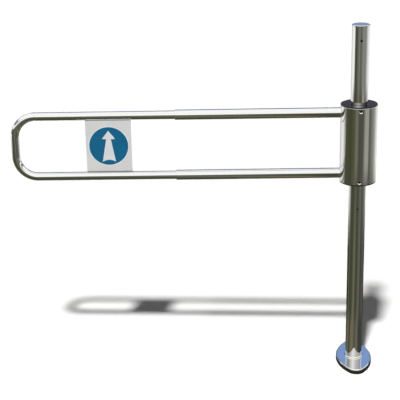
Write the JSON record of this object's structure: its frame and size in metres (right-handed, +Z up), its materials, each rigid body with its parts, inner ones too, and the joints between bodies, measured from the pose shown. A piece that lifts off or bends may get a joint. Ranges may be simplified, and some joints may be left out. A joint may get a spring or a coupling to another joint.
{
  "type": "expandable gate",
  "caption": "Polished floor post with a hinged drum that carries a telescoping looped arm and a round arrow sign, a one-way swing gate whose width can be set.",
  "frame": {"origin": "post axis at the floor, on the floor plate's underside", "axes": "+Z up along the post, the arm along -X, the sign's face towards -Y"},
  "size_m": [1.082, 0.206, 1.061],
  "materials": {
    "floor_plate": "mill",
    "foot_cover": "polished",
    "foot_collar": "polished",
    "post_tube": "polished",
    "post_cap": "polished",
    "thrust_collar": "turned",
    "drum_shell": "polished",
    "drum_disc": "gloss",
    "turn_bush": "machined",
    "screw": "black oxide",
    "sleeve": "polished",
    "guide": "moulded",
    "loop_tube": "polished",
    "sign_plate": "satin"
  },
  "bodies": {
    "post": {"base_plate": "floor_plate", "base_cover": "foot_cover", "foot_collar": "foot_collar", "post_tube": "post_tube", "post_cap": "post_cap", "thrust_collar": "thrust_collar"},
    "arm": {"drum_shell": "drum_shell", "drum_top_disc": "drum_disc", "drum_bottom_disc": "drum_disc", "upper_turn_bush": "turn_bush", "lower_turn_bush": "turn_bush", "top_disc_screws": "screw", "bottom_disc_screws": "screw", "upper_sleeve": "sleeve", "lower_sleeve": "sleeve", "upper_mouth_bush": "guide", "lower_mouth_bush": "guide"},
    "loop": {"loop_tube": "loop_tube", "upper_leg_guide": "guide", "lower_leg_guide": "guide", "sign_plate": "sign_plate"}
  },
  "joints": [
    {"name": "arm_swing", "type": "hinge", "parent": "post", "child": "arm", "pos_m": [0, 0, 0.709], "axis": [0, 0, -1], "range_deg": [0, 90], "stiffness_Nm_per_rad": 6, "springref_deg": -11.46},
    {"name": "arm_extend", "type": "slide", "parent": "arm", "child": "loop", "axis": [-1, 0, 0], "range_m": [-0.12, 0.15]}
  ]
}
